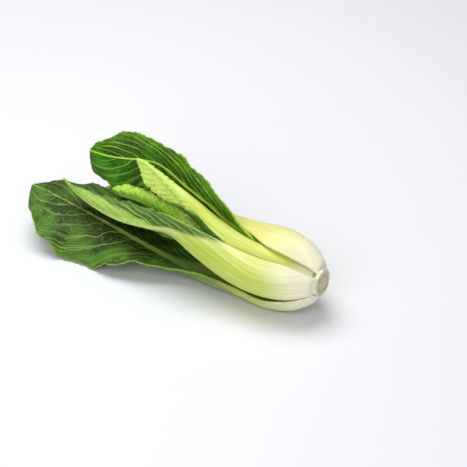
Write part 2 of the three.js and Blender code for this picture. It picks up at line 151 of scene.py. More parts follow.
LEAVES = [
    Leaf("leaf_back", "outer", -28, 12, 5, 1.6, [
        (60, 15, 42.2, -36, 11.2, 6.4, 0, 44, 0, 34), (84, 22.8, 37, -39, 11.4, 5.4, 0, 36, 0, 34),
        (110, 27, 37, -42, 11, 4.6, 0, 26, 0, 30), (138, 33, 35.6, -48, 17, 3.6, 0, 10, 4, 20),
        (166, 40, 34, -54, 28, 2.8, 0, 4, 4, 24), (192, 47, 32, -56, 30, 2, 0, 4, 4, 20),
        (214, 51, 31, -58, 21, 1.4, 0, 4, 4, 14), (227, 54, 30, -60, 4, 0.9, 0, 0, 0, 0),
    ], colours="2a5f14 478620 6f9a38 9cc060 c4dc6c e8e090 ccd660",
        open_high=22, pallor=0.25),
    Leaf("leaf_front", "outer", 90, 16, 5, 1.4, [
        (60, -20.6, 30, 98, 15, 7.2, 0, 42, 0, 42), (84, -21, 38, 96, 11.7, 6, 0, 46, 0, 46),
        (108, -20, 46, 106, 8.6, 4.6, 0, 44, 0, 44), (130, -18, 42, 122, 14, 3.6, 10, 90, 30, 20),
        (158, -14, 36.6, 126, 24, 2.8, 16, 110, 28, 28),
        (184, -9, 36.6, 128, 27, 2, 16, 120, 36, 28),
        (204, -4, 39.6, 130, 20, 1.4, 16, 60, 36, 20), (217, 0, 44, 128, 4, 0.9, 10, 0, 10, 0),
    ], colours="33691c 52892e 3a6c0e b2da60 c8ea84 dee074 b6ce48",
        low=(1, 0.05), wings=0.35, midrib=0.3, veins=7, sweep=0.5, quilted=0.5, lobes=0.05,
        vein_show=0.7, vein_width=1.05, far=0.62, pale=(0.05, 1.65, -1.5, 0.15), pleats=1.4,
        belly=0.6, pallor=0.3, edge=-0.4),
    Leaf("leaf_under", "outer", 169, 16, 6, 2, [
        (60, -5, 8.4, 178, 15, 7.2, 0, 42, 0, 46), (86, -6, 8, 172, 12.5, 6, 0, 46, 0, 50),
        (112, -5, 9, 174, 14, 4.6, 0, 20, 0, 20), (140, -4, 13, 176, 21, 3.6, 0, 0, -10, -10),
        (172, -2, 18, 178, 31, 2.8, -24, -24, -10, -16),
        (206, 0, 23, 178, 34, 2, -14, -10, -10, -10), (232, 2, 26, 176, 24, 1.4, -4, 0, -4, 0),
        (248, 2, 28, 174, 5, 0.9, 0, 0, 0, 0),
    # Its dark upper colour is partly painted shade, as if under the leaves lying over it.
    ], colours="203f0c 4c7e22 6c9c40 9cc060 a0ba60 d4dc78 587a28",
        low=(1.5, 0.95), wings=0.3, midrib=0.25, sweep=0.4, vein_show=0.75, vein_width=0.65,
        shade=0.75, far=0.15, pallor=0.08),
    Leaf("leaf_rear", "outer", 247.5, 16, 5, 2, [
        (60, 19.5, 21.5, 262, 12.8, 7.2, 0, 42, 0, 48), (86, 23, 19, 246, 11.6, 6, 0, 46, 0, 60),
        (112, 29, 14, 226, 12, 4.6, 0, 24, 0, 24), (138, 37, 7.4, 206, 19, 3.6, 0, 0, 0, 6),
        (166, 45, 4.4, 194, 29, 2.8, 0, -2, 0, 6), (190, 52, 3.4, 190, 31, 2, 0, -4, 0, 6),
        (210, 57, 3.6, 188, 22, 1.4, 0, 0, 0, 6), (224, 60, 5, 186, 4, 0.9, 0, 0, 0, 0),
    ], colours="2a5f14 4a8226 6c9c40 9cc060 a6c45c e8e890 a8c450"),
    Leaf("leaf_folded", "middle", 36, 8, 4, 1.2, [
        (54, -10.4, 43.4, 45, 8, 4.8, 36, 44, 0, 40), (76, -11.2, 52, 44, 8.2, 4.6, 52, 50, 4, 40),
        (98, -8, 61.6, 46, 8, 3.8, 90, 50, 10, 30), (118, -4, 68, 52, 11.4, 3, 134, 10, 10, 20),
        (136, 1, 73, 56, 13.8, 2.2, 136, 6, 10, 20), (147, 4, 75, 56, 8.6, 1.6, 120, 6, 10, 10),
        (155, 6, 74.6, 56, 2.6, 0.9, 50, 0, 10, 0),
    # Its dark under colour, shown where the under side is not pale, is partly painted shade beside
    # the stalk.
    ], colours="4f9420 7db636 3a7014 cae86a d8f080 e0e676 cfe25c",
        outset=3, low=(0.8, 0.6), midrib=0.2, quilted=0.25, crimp=0.5, lobes=0.12, scallops=0.5,
        vein_show=0.6, pale=(0.25, 1.0, -0.6, 0.15), pleats=0.4, flank=(-0.12, 0.6), white=0.2,
        belly=0.1),
    Leaf("leaf_tall", "middle", 322, 8, 5, 1.8, [
        (52, 7, 37.4, 318, 6.2, 4, 0, 44, 16, 40), (62, 3, 41, 294, 7.5, 3.4, 0, 40, 2, 24),
        (72, 1.6, 46, 280, 8.7, 3.4, 0, 30, 2, 20), (92, 3, 57.4, 268, 14, 4, -10, -20, 12, 10),
        (116, 9.6, 62.4, 258, 19, 3.6, -4, 4, 14, 10), (142, 16, 69, 248, 22, 2.8, -4, 0, 32, 10),
        (161, 20, 66, 244, 25, 2.4, -4, 0, 30, 10), (180, 22, 61, 242, 22.6, 1.8, -4, 0, 25, 10),
        (195, 23, 58.4, 242, 15.4, 1.4, -4, 0, 25, 10),
        (205, 23.6, 58, 242, 10.6, 1.1, -4, 0, 20, 10), (210, 24, 58, 242, 5, 0.9, 0, 0, 10, 0),
    ], colours="0a4a0c 3a821a 5f9232 9cc060 c4f250 dcea7c c4e640",
        low=(0.5, 1.25), high=(1.4, 0.7), midrib=0.25, sweep=0.42, quilted=0.7, lobes=0.03,
        vein_show=1, vein_width=0.8, quiet=0.5, shade=0.35),
    Leaf("leaf_ruffled", "middle", 116, 12, 5, 1.6, [
        (56, -11, 26, 112, 8.6, 4.4, 0, 46, 0, 46), (80, -11.6, 32, 106, 8.4, 4.2, 0, 50, 0, 50),
        (102, -10, 40.4, 98, 8.2, 3.8, 0, 30, 30, 50), (126, -8, 49, 90, 9.6, 3, 0, 120, 90, 10),
        (148, -5, 50, 86, 9.8, 2.2, 0, 120, 90, 6), (163, -2.6, 47.6, 84, 9, 1.6, 0, 110, 90, 4),
        (174, 1, 45.4, 84, 4, 0.9, 0, 0, 60, 0),
    ], colours="4a9a1c 72b62c 72ba1a ccf25c a0d44c b8cc5c 84b82c",
        high=(0.6, 0.6), midrib=0.2, veins=10, quilted=0.4, crimp=0.5, lobes=0.16, scallops=2.0,
        vein_show=0.4, pale=(-0.8, 0.5, 1.4, 0.4), pleats=1.8, keel=0.6),
    Leaf("leaf_low", "middle", 208, 12, 4, 1.2, [
        (56, 7, 19.4, 214, 8.6, 4.4, 0, 46, 0, 46), (78, 8, 20.5, 212, 8.4, 4.4, 0, 50, 0, 50),
        (102, 11, 23, 208, 8.6, 3.6, 0, 30, 0, 40), (126, 14, 26, 206, 13, 3, 0, 10, 20, 30),
        (150, 17, 29, 204, 15, 2.2, 0, 10, 30, 20), (168, 19, 31, 204, 12, 1.6, 0, 10, 30, 10),
        (180, 20, 32, 204, 4, 0.9, 0, 0, 0, 0),
    ], colours="2a5f14 4a8226 6c9c40 9cc060 a6c45c dce884 a9c648",
        veins=8),
    Leaf("leaf_heart_upper", "inner", 350, 12, 3, 0.6, [
        (66, 0.6, 34, 352, 4, 2.2, 0, 50, 0, 50), (84, 2, 36.4, 350, 4.2, 1.8, 0, 40, 0, 40),
        (99, 3.6, 39, 350, 6, 1.5, 10, 60, 10, 60), (110, 5, 41, 350, 5.4, 1.2, 10, 60, 10, 60),
        (118, 6, 42, 350, 2.5, 0.9, 0, 0, 0, 0),
    ], **HEART),
    Leaf("leaf_heart_front", "inner", 110, 12, 3, 0.6, [
        (66, -4, 27.8, 110, 4.2, 2.2, 0, 50, 0, 50), (82, -2.4, 29, 112, 4.4, 1.8, 0, 40, 0, 40),
        (96, -0.6, 30, 116, 5, 1.5, 10, 50, 10, 50), (106, 0.6, 31, 118, 4.4, 1.2, 10, 50, 10, 50),
        (113, 1.4, 31.6, 118, 2.2, 0.9, 0, 0, 0, 0),
    ], **HEART),
    Leaf("leaf_heart_rear", "inner", 230, 12, 3, 0.6, [
        (64, 4, 26, 232, 4.6, 2.4, 0, 50, 0, 50), (82, 7, 28.4, 236, 4.6, 2, 0, 40, 0, 40),
        (98, 10, 31.4, 240, 6.2, 1.6, 10, 60, 10, 60), (110, 10, 34, 242, 6, 1.2, 10, 60, 10, 60),
        (118, 11, 36, 242, 2.5, 0.9, 0, 0, 0, 0),
    ], **HEART),
]


def colour(code):
    """Linear red, green and blue of a six-digit colour code."""
    parts = [int(code[i:i + 2], 16) / 255 for i in (0, 2, 4)]
    return [part / 12.92 if part <= 0.04045 else ((part + 0.055) / 1.055) ** 2.4 for part in parts]


# ---- settings
def colour_property(name, description, default="808080"):
    return FloatVectorProperty(
        name=name, description=description, default=colour(default), subtype="COLOR",
        size=3, min=0, max=1,
    )


def size_property(name, description, millimetres, highest):
    return FloatProperty(
        name=name, description=description, default=millimetres * MM, min=0,
        max=highest * MM, precision=5, subtype="DISTANCE", unit="LENGTH",
    )


def power_property(name, description, watts):
    return FloatProperty(name=name, description=description, default=watts, min=0, unit="POWER")


class BokChoyLeafLook(bpy.types.PropertyGroup):
    """Colours of one leaf."""

    upper: colour_property("Upper face", "Upper face of the blade")
    patches: colour_property("Patches", "Lighter patches of the upper face")
    under: colour_property("Under side", "Under side of the blade")
    pale: colour_property("Pale parts", "Pale parts of the under side")
    veins: colour_property("Veins", "Veins and midrib")
    stalk: colour_property("Stalk", "Stalk halfway up")
    neck: colour_property("Neck", "Stalk where the blade begins")


class BokChoySettings(bpy.types.PropertyGroup):
    """Sizes and colours of the head and of what it lies on."""

    quilting: size_property("Quilting", "How far the blade swells between its veins", 0.55, 3)
    blisters: size_property("Blisters", "Height of the small bumps of a blade", 0.16, 2)
    vein_relief: size_property("Vein relief", "How far veins stand out of the under side", 0.3, 2)
    stalk_ridges: size_property("Stalk ridges", "Height of the fine ridges of a stalk", 0.1, 1)
    ridge_spacing: size_property("Ridge spacing", "Distance between ridges of a stalk", 2.4, 10)
    base_white: colour_property("Stalk base", "Stalks near the butt", "fdf8de")
    butt: colour_property("Butt", "Cut face of the butt", "efe9c8")
    butt_fibres: colour_property("Butt fibres", "Strands in the cut face", "c2b980")
    floor: colour_property("Floor", "Floor below the head", "e9eaee")
    key_power: power_property("Key light", "Power of the large overhead light", 12)
    fill_power: power_property("Fill light", "Power of the light beside the camera", 7)
    sky: FloatProperty(
        name="Sky", description="Strength of the even light from all round", default=0.28, min=0,
    )
    butt_segments: IntProperty(
        name="Butt segments", description="Facets round the butt", default=144, min=24, max=360,
    )
    leaves: CollectionProperty(
        name="Leaves", description="Colours of each leaf", type=BokChoyLeafLook,
    )


# ---- shapes
def smooth(value, low, high):
    t = np.clip((value - low) / (high - low), 0, 1)
    return t * t * (3 - 2 * t)


def lifted(height):
    """A surface held up softly: left alone far above the least lift, and never below it."""
    above = height - LEAST_LIFT
    short = np.minimum(above, LIFT_SOFTNESS) - LIFT_SOFTNESS
    held = LEAST_LIFT + LIFT_SOFTNESS * np.exp(short / LIFT_SOFTNESS)
    return np.where(above >= LIFT_SOFTNESS, height, held)


def unit(vectors):
    return vectors / np.maximum(np.linalg.norm(vectors, axis=-1, keepdims=True), 1e-9)


def wobble(x, y, seed):
    """Smooth wandering between about -1 and 1, with a wavelength of about 1."""
    rng = np.random.default_rng(seed)
    total = 0
    for _ in range(WOBBLE_TERMS):
        direction, turn = rng.uniform(0, math.tau, 2)
        pace = math.tau * rng.uniform(0.6, 1.5)
        total += np.sin(pace * (math.cos(direction) * x + math.sin(direction) * y) + turn)
    return total / math.sqrt(WOBBLE_TERMS)


class StationCurves:
    """Smooth curves through a leaf's stations, by the distance walked between them."""

    def __init__(self, rows):
        self.rows = np.array(rows, float)
        steps = np.linalg.norm(np.diff(self.rows[:, :3], axis=0), axis=1)
        self.walked = np.concatenate([[0], np.cumsum(steps)])
        self.length = self.walked[-1]
        order = np.arange(len(rows))
        before = np.maximum(order - 1, 0)
        after = np.minimum(order + 1, len(rows) - 1)
        run = (self.walked[after] - self.walked[before])[:, None]
        self.slopes = (self.rows[after] - self.rows[before]) / run

    def at(self, u):
        distance = np.clip(u, 0, 1) * self.length
        i = np.searchsorted(self.walked, distance, side="right") - 1
        i = np.clip(i, 0, len(self.rows) - 2)
        span = self.walked[i + 1] - self.walked[i]
        t = ((distance - self.walked[i]) / span)[:, None]
        span = span[:, None]
        placed = (2 * t**3 - 3 * t**2 + 1) * self.rows[i]
        placed = placed + (3 * t**2 - 2 * t**3) * self.rows[i + 1]
        leaving = (t**3 - 2 * t**2 + t) * self.slopes[i]
        return placed + span * (leaving + (t**3 - t**2) * self.slopes[i + 1])


def base_stations(leaf):
    stations = []
    around = math.radians(leaf.azimuth)
    for along, inner, half_width, thickness in WHORLS[leaf.whorl]:
        radius = inner + leaf.outset * float(smooth(along, *OUTSET_SPAN))
        curl = math.degrees(half_width / (radius + BASE_CURL_DEPTH))
        stations.append((
            along, -radius * math.sin(around), AXIS_HEIGHT + radius * math.cos(around),
            leaf.azimuth + leaf.roll, half_width, thickness, 0, curl, 0, curl - leaf.open_high,
        ))
    return stations


class Sheet:
    """The sheet of one leaf. u runs from 0 at the base to 1 at the tip, v from -1 to 1 across."""

    def __init__(self, leaf):
        bases = base_stations(leaf)
        self.leaf = leaf
        self.curves = StationCurves(bases + leaf.stations)
        self.start = bases[0][0]
        self.length = self.curves.length
        neck_station = len(bases) + NECK_STATION[leaf.whorl]
        self.neck = self.curves.walked[neck_station] / self.length
        self.neck_width = self.curves.at(np.array([self.neck]))[0, 4]
        self.widest = max(station[4] for station in leaf.stations)

    def rib_width(self, u, half_width):
        beyond = np.clip((1 - u) / (1 - self.neck), 0, 1)
        taper = RIB_TIP + (self.neck_width - RIB_TIP) * beyond ** RIB_TAPER
        return np.where(u <= self.neck, half_width, np.minimum(half_width, taper))

    def pale_width(self, u):
        """Half width of the pale stalk and midrib, between the green wings of the blade."""
        half_width = self.curves.at(u)[:, 4]
        up_blade = (u - self.neck) / (1 - self.neck)
        beyond = np.clip(1 - up_blade, 0, 1) ** PALE_TAPER
        midrib = PALE_TIP + (self.leaf.midrib * self.neck_width - PALE_TIP) * beyond
        winged = smooth(up_blade, -self.leaf.wings, WING_END)
        return half_width + (np.minimum(midrib, half_width) - half_width) * winged

    def on_blade(self, u):
        return smooth(u, self.neck - NECK_BLEND, self.neck + NECK_BLEND)

    def side_share(self, u, v):
        """How much of the half width the side of the blade has that each point lies on."""
        up_blade = np.clip((u - self.neck) / (1 - self.neck), 0, 1)[:, None]
        low, high = (
            at_neck + (at_tip - at_neck) * up_blade
            for at_neck, at_tip in (self.leaf.low, self.leaf.high)
        )
        return np.where(v < 0, low, high)

    def widths(self, u, v):
        """Half width of the side that each point lies on."""
        more = (self.side_share(u, v) - 1) * self.on_blade(u)[:, None]
        return self.curves.at(u)[:, 4:5] * (1 + more)

    def inner_face(self, u, v):
        v = np.clip(v, -1, 1)
        here = self.curves.at(u)
        heading = np.array([-1.0, 1.0, 1.0])
        ahead = self.curves.at(np.minimum(u + TANGENT_STEP, 1))[:, :3] * heading
        behind = self.curves.at(np.maximum(u - TANGENT_STEP, 0))[:, :3] * heading
        upright = (1 - smooth(here[:, 0] - self.start, 0, BASE_LENGTH))[:, None]
        tangent = unit(ahead - behind) * (1 - upright) + np.array([-1.0, 0, 0]) * upright
        tangent = unit(tangent)
        turn = np.radians(here[:, 3])
        normal = np.stack([np.zeros_like(turn), -np.sin(turn), np.cos(turn)], axis=1)
        normal = unit(normal - tangent * np.sum(normal * tangent, axis=1, keepdims=True))
        across = np.cross(normal, tangent)

        middles = (np.arange(CURL_STEPS) + 0.5) / CURL_STEPS
        eased = smooth(middles, 0, FOLD_SHARE)
        walked = np.abs(v) * CURL_STEPS
        step = np.clip(walked.astype(int), 0, CURL_STEPS - 1)
        part = walked - step
        row = np.arange(len(u))[:, None]
        sideways = np.zeros_like(v)
        inwards = np.zeros_like(v)
        for half, chosen in ((0, v < 0), (1, v >= 0)):
            fold, curl = here[:, 6 + 2 * half, None], here[:, 7 + 2 * half, None]
            angle = np.radians(fold * eased + curl * middles)
            for reach, turned in ((sideways, np.cos(angle)), (inwards, np.sin(angle))):
                total = np.zeros((len(u), CURL_STEPS + 1))
                total[:, 1:] = np.cumsum(turned, axis=1) / CURL_STEPS
                value = total[row, step] * (1 - part) + total[row, step + 1] * part
                reach[chosen] = value[chosen]

        width = self.widths(u, v)
        ruffled = smooth(u, self.neck, self.neck + RUFFLE_START) * smooth(1 - u, 0, RUFFLE_END)
        waves = (self.leaf.waves * (u - self.neck) / (1 - self.neck))[:, None]
        wave = np.sin(math.tau * (waves + MARGIN_SHIFT * np.sign(v)))
        height = self.leaf.ruffle * ruffled[:, None] * np.minimum(self.side_share(u, v), 1)
        ruffle = height * np.abs(v) ** RUFFLE_POWER * wave
        point = (here[:, :3] * heading)[:, None, :]
        point = point + across[:, None, :] * (np.sign(v) * sideways * width)[..., None]
        point += normal[:, None, :] * (ruffle - inwards * width)[..., None]
        point[..., 2] = lifted(point[..., 2])
        return point

    def outwards(self, u, v):
        before, after = np.maximum(u - NORMAL_STEP_U, 0), np.minimum(u + NORMAL_STEP_U, 1)
        along = self.inner_face(after, v) - self.inner_face(before, v)
        before, after = np.maximum(v - NORMAL_STEP_V, -1), np.minimum(v + NORMAL_STEP_V, 1)
        return unit(np.cross(along, self.inner_face(u, after) - self.inner_face(u, before)))

    def thickness(self, u, v):
        here = self.curves.at(u)
        margin = STALK_MARGIN + (BLADE_THICKNESS - STALK_MARGIN) * self.on_blade(u)
        edge = np.minimum(margin, here[:, 5])[:, None]
        rib = self.rib_width(u, here[:, 4])[:, None]
        across = np.clip(np.abs(v) * here[:, 4:5] / rib, 0, 1)
        return edge + (here[:, 5:6] - edge) * (1 - across**2) ** RIB_ROUNDNESS

    def column_places(self, u, columns):
        """v of every column: some follow the midrib, and the others share what is left."""
        half_width = self.curves.at(u)[:, 4:5]
        rib_columns = round(columns * RIB_COLUMNS / SIDE_COLUMNS)
        rib = self.rib_width(u[:, None], half_width) / half_width
        rib = np.minimum(rib, rib_columns / columns)
        index = np.arange(columns + 1)[None, :]
        left = (index - rib_columns) / (columns - rib_columns)
        side = np.where(index <= rib_columns, rib * index / rib_columns, rib + (1 - rib) * left)
        return np.concatenate([-side[:, :0:-1], side], axis=1)


# ---- leaves
TIP_LENGTH, TIP_ROWS = 9.0, 18  # over this length the blade rounds off to its tip
TIP_LEAST = 0.0016  # square of the share of the width that is left at the very tip
NOTCH = 0.03  # how far the margin wanders, as a share of the half width
LOBE_SPACING = 12.0
SCALLOP_SPACING, SCALLOP_MIDDLE, SCALLOP_START = 13.0, 0.6, (0.15, 0.6)
CRIMP_SPACING, CRIMP_POWER = 5.2, 5
RIB_EDGE = (0.75, 1.15)  # where the pale midrib gives way, as shares of its half width
WING_RISE = 0.1
VEIN_BEND, VEIN_RADIUS, VEIN_FADE = 1.25, 0.8, 0.75
QUILT_EDGE, QUILT_FADE = 0.75, 0.45
RIDGES_START, RIDGES_END = (10, 40), (0.1, 0.5)  # along the stalk, and up the blade
BASE_REACH = 0.6  # the leaf bases are cut off here, just behind the cut face
MARGIN_BULGE = 0.8

# How much a thing wanders, and the wavelengths of that along and across the leaf.
MARGIN_WAVE, SIDES_APART = 9, 3.7
LOBE_SWING, LOBE_WAVE = 0.35, 30
VEIN_WAVES = ((0.10, 26, 20), (0.035, 8, 7))
BLISTER_WAVE = 4.2
CRIMP_SWING, CRIMP_WAVE = 2.2, 22
SCALLOP_SWING, SCALLOP_WAVE = 0.3, 25
RIDGE_SWING, RIDGE_WAVES = 1.4, (40, 9)
RIDGE_SHARES, RIDGE_HEIGHT_WAVES = (0.6, 0.4), (30, 6)


def leaf_rows(sheet):
    tip = 1 - TIP_LENGTH / sheet.length
    body = np.linspace(0, tip, sheet.leaf.rows - TIP_ROWS, endpoint=False)
    turned = np.linspace(0, math.pi / 2, TIP_ROWS)
    return np.concatenate([body, tip + (1 - tip) * np.sin(turned)]), tip


def margin_outline(sheet, u, v, tip, blade, walked, seed):
    """Share of the half width that the rounded, notched and lobed blade has at each row."""
    past_tip = np.clip((u - tip) / (1 - tip), 0, 1)
    outline = np.sqrt(np.maximum(1 - past_tip**2, TIP_LEAST))[:, None]
    side = np.sign(v)
    wander = wobble(walked / MARGIN_WAVE, side * SIDES_APART, seed + 1)
    outline = outline * (1 - NOTCH * blade * (0.5 + 0.5 * wander))
    wander = LOBE_SWING * wobble(walked / LOBE_WAVE, side, seed + 8)
    lobe = walked / LOBE_SPACING + 0.5 * side + wander
    notch = (1 - np.abs(np.sin(math.pi * lobe))) ** 2
    return outline * (1 - sheet.leaf.lobes * blade * notch)


def leaf_surface(sheet, settings, seed):
    """Both faces of a leaf with their fine detail, and the coordinates that its finish reads."""
    leaf = sheet.leaf
    u, tip = leaf_rows(sheet)
    v = sheet.column_places(u, leaf.columns)
    blade = smooth(u, sheet.neck, sheet.neck + RUFFLE_START)[:, None]
    walked = (u * sheet.length)[:, None]
    outline = margin_outline(sheet, u, v, tip, blade, walked, seed)
    v = v * outline

    point = sheet.inner_face(u, v)
    outward = sheet.outwards(u, v)
    thickness = sheet.thickness(u, v)
    half_width = sheet.curves.at(u)[:, 4:5]
    sideways = v * sheet.widths(u, v)

    def wander(along, across, number):
        return wobble(walked / along, sideways / across, seed + number)

    aside = np.abs(v)
    up_blade = ((u - sheet.neck) / (1 - sheet.neck))[:, None]
    rib_share = aside * half_width / sheet.pale_width(u)[:, None]
    winged = smooth(up_blade, -leaf.wings, -leaf.wings + WING_RISE)
    rib = 1 - smooth(rib_share, *RIB_EDGE) * winged
    fleshy = 1 - rib

    # phase counts the lateral veins, and strand is 0 on a vein and 0.5 between two
    phase = leaf.veins * (up_blade - leaf.sweep * aside**VEIN_BEND)
    (broad, *broad_wave), (slight, *slight_wave) = VEIN_WAVES
    phase += broad * wander(*broad_wave, 2) + slight * wander(*slight_wave, 3)
    strand = np.abs((phase + 0.5 * (v > 0)) % 1 - 0.5)
    spacing = (1 - sheet.neck) * sheet.length / leaf.veins

    quilt = smooth(strand * 2, 0, QUILT_EDGE) * (1 - QUILT_FADE * aside)
    lift = -settings.quilting / MM * leaf.quilted * quilt * fleshy
    lift += settings.blisters / MM * wander(BLISTER_WAVE, BLISTER_WAVE, 4) * fleshy
    swing = CRIMP_SWING * wobble(walked / CRIMP_WAVE, v, seed + 5)
    crimps = np.sin(math.tau * walked / CRIMP_SPACING + swing)
    lift += leaf.crimp * aside**CRIMP_POWER * crimps * blade * outline
    swing = SCALLOP_SWING * wobble(walked / SCALLOP_WAVE, np.sign(v), seed + 9)
    scallop = walked / SCALLOP_SPACING + swing
    scallop = np.abs(np.sin(math.pi * scallop)) - SCALLOP_MIDDLE
    lift += leaf.scallops * scallop * smooth(aside, *SCALLOP_START) * blade * outline

    relief = np.exp(-((strand * spacing / VEIN_RADIUS) ** 2)) * (1 - VEIN_FADE * aside) * fleshy
    on_stalk = rib * smooth(walked, *RIDGES_START) * (1 - smooth(up_blade, *RIDGES_END))
    swing = RIDGE_SWING * wander(*RIDGE_WAVES, 6)
    ridges = np.cos(math.tau * sideways / (settings.ridge_spacing / MM) + swing)
    even, uneven = RIDGE_SHARES
    ridges *= even + uneven * wander(*RIDGE_HEIGHT_WAVES, 7)
    under = settings.vein_relief / MM * relief + settings.stalk_ridges / MM * ridges * on_stalk

    inner = point + outward * lift[..., None]
    outer = point + outward * (lift + thickness + under)[..., None]
    for face in (inner, outer):
        face[..., 0] = np.minimum(face[..., 0], -sheet.start)
        face[0, :, 0] = -min(sheet.start, BASE_REACH) if leaf.whorl == "outer" else -sheet.start
        face[..., 2] = np.maximum(face[..., 2], 0)
    places = {
        "place": np.stack([up_blade + 0 * v, v], axis=-1),
        "lengths": np.stack([walked / 10 + 0 * v, sideways / 10], axis=-1),
        "veins": np.stack([phase, rib], axis=-1),
    }
    return inner, outer, places


def ring_quads(rows, size):
    """Faces between each ring of points and the next."""
    ring = np.arange(size)
    ahead = (ring + 1) % size
    row = np.arange(rows - 1)[:, None] * size
    quads = (row + ring, row + ahead, row + size + ahead, row + size + ring)
    return np.stack(quads, axis=-1).reshape(-1, 4)


def placed_mesh(name, points, faces):
    """A smooth mesh of points given in millimetres from the middle of the cut face."""
    placed = (points.reshape(-1, 3) + np.array([CUT_FACE_X, HEAD_Y, 0])) * MM
    mesh = bpy.data.meshes.new(name)
    mesh.from_pydata(placed.tolist(), [], faces)
    mesh.shade_smooth()
    mesh.update()
    return mesh


def leaf_mesh(name, sheet, settings, seed):
    inner, outer, places = leaf_surface(sheet, settings, seed)
    # a ring runs over the inner face, round the margin, back over the outer face and round again
    count = inner.shape[1]
    column = np.array([*range(count), count - 1, *range(count - 1, -1, -1), 0])
    size = len(column)
    rows = len(inner)
    points = np.zeros((rows, size, 3))
    points[:, :count] = inner
    points[:, count + 1:size - 1] = outer[:, ::-1]
    for slot, edge, inside in ((count, -1, -2), (size - 1, 0, 1)):
        half = (outer[:, edge] - inner[:, edge]) / 2
        aside = unit(inner[:, edge] - inner[:, inside])
        bulge = np.linalg.norm(half, axis=1, keepdims=True) * MARGIN_BULGE
        points[:, slot] = inner[:, edge] + half + aside * bulge
    points[..., 2] = np.maximum(points[..., 2], 0)

    faces = [tuple(face) for face in ring_quads(rows, size).tolist()]
    finish_index = np.tile(np.arange(size) >= count - 1, rows - 1).astype(int).tolist()
    for first, turn in ((0, -1), ((rows - 1) * size, 1)):
        cap = [(j, j + 1, size - 3 - j, size - 2 - j) for j in range(count - 1)]
        cap += [(count - 1, count, count + 1), (size - 2, size - 1, 0)]
        faces += [tuple(first + corner for corner in face[::turn]) for face in cap]
        finish_index += [1] * len(cap)

    mesh = placed_mesh(name, points, faces)
    corners = np.zeros(len(mesh.loops), dtype=int)
    mesh.loops.foreach_get("vertex_index", corners)
    for title, values in places.items():
        layer = mesh.uv_layers.new(name=title)
        layer.data.foreach_set("uv", values[:, column].reshape(-1, 2)[corners].ravel())
    mesh.polygons.foreach_set("material_index", finish_index)
    mesh.update()
    return mesh


def add_object(name, data):
    added = bpy.data.objects.new(name, data)
    bpy.context.scene.collection.objects.link(added)
    return added


def add_piece(name, mesh, node):
    piece = add_object(name, mesh)
    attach(piece, "root")
    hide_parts(node)
    return piece


# ---- finishes
# Smooth ramps: from, to, and the values before and after where they are not 0 and 1. Distances on
# a leaf are in centimetres, off a vein in millimetres or vein widths, and on the butt in metres.
RAMPS = {
    "lean": (0, 0.8, 1.3), "vein": (0.7, 1.7, 1, 0), "vein strength": (0, 1, 0.5, 1),
    "fork spread": (0.22, 1, 0, 0.27), "fork": (0.5, 1.5, 0.8, 0), "fork start": (0.2, 0.34),
    "halo": (0, 2.4, 1, 0), "drift": (0.36, 0.66),
    "shade": (0.1, 0.65), "shade end": (0.62, 0.92, 1, 0),
    "quiet": (-0.15, 0.1), "veins on dark": (0, 1, 0.3, 1), "margin line": (0.965, 1, 0, 0.5),
    "far": (0, 0.12, 0), "strands": (0.44, 0.62), "flush": (0.4, 0.64, 0, 0.45),
    "flush start": (1.5, 5), "belly": (0.1, 0.8), "belly start": (1, 3.5),
    "pallor": (0.5, 0.66, 0), "pallor start": (2, 6), "green edge": (0.5, 1),
    "stalk end": (0, 0.35), "flank": (-0.05, 0.09), "flank start": (-1.4, -0.9),
    "keel": (0.06, 0.34, 1, 0), "keel start": (-0.4, 0), "mottle": (0.3, 0.7),
    "rough blade": (0.3, 0.7, 0.05, 0.19),
    "ring": (0.0002, 0.0012, 0.8, 0), "seam": (0, 0.07, 0.8, 0), "seam start": (0.0055, 0.0062),
    "fibres": (0, 0.16, 1, 0), "dried": (0.48, 0.72, 0, 0.4), "rim": (0.0086, 0.0096),
    "rough cut": (0.3, 0.7, 0.45, 0.65),
}
# Noises: what their space is stretched by, scale, detail and roughness.
NOISES = {
    "clouds": (1, 1, 0.55, 3, 0.5), "mottle": (1, 1, 4.5, 3, 0.6), "warp": (1, 1, 1.6, 2, 0.5),
    "pleats": (1, 1, 2.2, 2, 0.5), "strands": (0.14, 7, 1, 2, 0.6),
    "flush": (0.16, 1.3, 1, 2, 0.5), "pallor": (0.12, 3.2, 1, 2, 0.5),
    "stain": (1, 1, 260, 4, 0.6),
}
# Sums that a finish works out, under their short names.
SUMS = {
    "times": "MULTIPLY", "times_plus": "MULTIPLY_ADD", "plus": "ADD", "minus": "SUBTRACT",
    "over": "DIVIDE", "size": "ABSOLUTE", "largest": "MAXIMUM", "fraction": "FRACT",
}
SUBSURFACE_SCALE = 0.5


